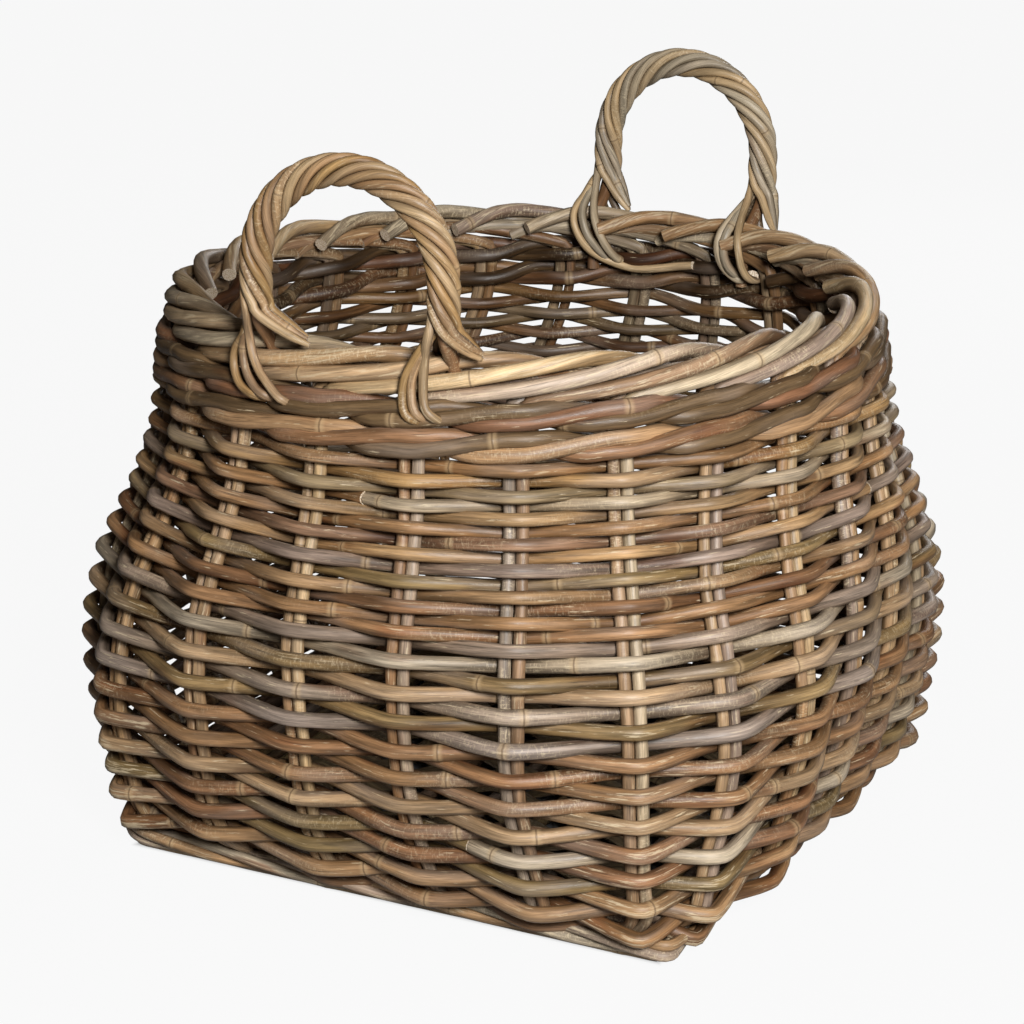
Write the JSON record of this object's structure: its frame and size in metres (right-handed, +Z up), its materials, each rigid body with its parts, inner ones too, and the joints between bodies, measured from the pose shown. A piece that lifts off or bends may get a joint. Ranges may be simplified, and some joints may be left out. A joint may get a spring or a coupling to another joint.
{
  "type": "woven basket",
  "caption": "Large open rattan storage basket with a square foot, a round bulging body, a rolled woven rim and two upright wrapped handles.",
  "frame": {"origin": "on the floor in the middle of the square foot", "axes": "+Z up through the open mouth; -Y towards the near handle and +Y towards the far handle, which stand on the rim at about -88 and +87 degrees from +X"},
  "size_m": [0.5746, 0.5745, 0.5207],
  "materials": {
    "stake_rod": "matt natural rattan, pale tan",
    "weaver_rod": "matt smoked rattan, mixed brown, tan and grey",
    "wale_rod": "matt rattan, tan with grey streaks",
    "foot_rod": "matt grey-brown rattan",
    "base_rod": "matt brown rattan",
    "handle_rod": "lightly worn pale rattan"
  },
  "bodies": {
    "root": {"stake_pair_01": "stake_rod", "stake_pair_02": "stake_rod", "stake_pair_03": "stake_rod", "stake_pair_04": "stake_rod", "stake_pair_05": "stake_rod", "stake_pair_06": "stake_rod", "stake_pair_07": "stake_rod", "stake_pair_08": "stake_rod", "stake_pair_09": "stake_rod", "stake_pair_10": "stake_rod", "stake_pair_11": "stake_rod", "stake_pair_12": "stake_rod", "stake_pair_13": "stake_rod", "stake_pair_14": "stake_rod", "stake_pair_15": "stake_rod", "stake_pair_16": "stake_rod", "stake_pair_17": "stake_rod", "stake_pair_18": "stake_rod", "stake_pair_19": "stake_rod", "stake_pair_20": "stake_rod", "stake_pair_21": "stake_rod", "stake_pair_22": "stake_rod", "stake_pair_23": "stake_rod", "stake_pair_24": "stake_rod", "weaver_a_rod_1": "weaver_rod", "weaver_a_rod_2": "weaver_rod", "weaver_a_rod_3": "weaver_rod", "weaver_a_rod_4": "weaver_rod", "weaver_a_rod_5": "weaver_rod", "weaver_a_rod_6": "weaver_rod", "weaver_b_rod_1": "weaver_rod", "weaver_b_rod_2": "weaver_rod", "weaver_b_rod_3": "weaver_rod", "weaver_b_rod_4": "weaver_rod", "weaver_b_rod_5": "weaver_rod", "weaver_b_rod_6": "weaver_rod", "wale_rod_1": "wale_rod", "wale_rod_2": "wale_rod", "wale_rod_3": "wale_rod", "wale_rod_4": "wale_rod", "foot_rod_1": "foot_rod", "foot_rod_2": "foot_rod", "foot_rod_3": "foot_rod", "base_frame": "base_rod", "base_stick_1": "base_rod", "base_stick_2": "base_rod", "base_stick_3": "base_rod", "base_stick_4": "base_rod", "base_stick_5": "base_rod", "base_stick_6": "base_rod", "base_stick_7": "base_rod", "base_cane": "base_rod", "handle_near_bow": "handle_rod", "handle_near_wrap": "handle_rod", "handle_near_lashing_left": "handle_rod", "handle_near_lashing_right": "handle_rod", "handle_far_bow": "handle_rod", "handle_far_wrap": "handle_rod", "handle_far_lashing_left": "handle_rod", "handle_far_lashing_right": "handle_rod"}
  },
  "joints": []
}
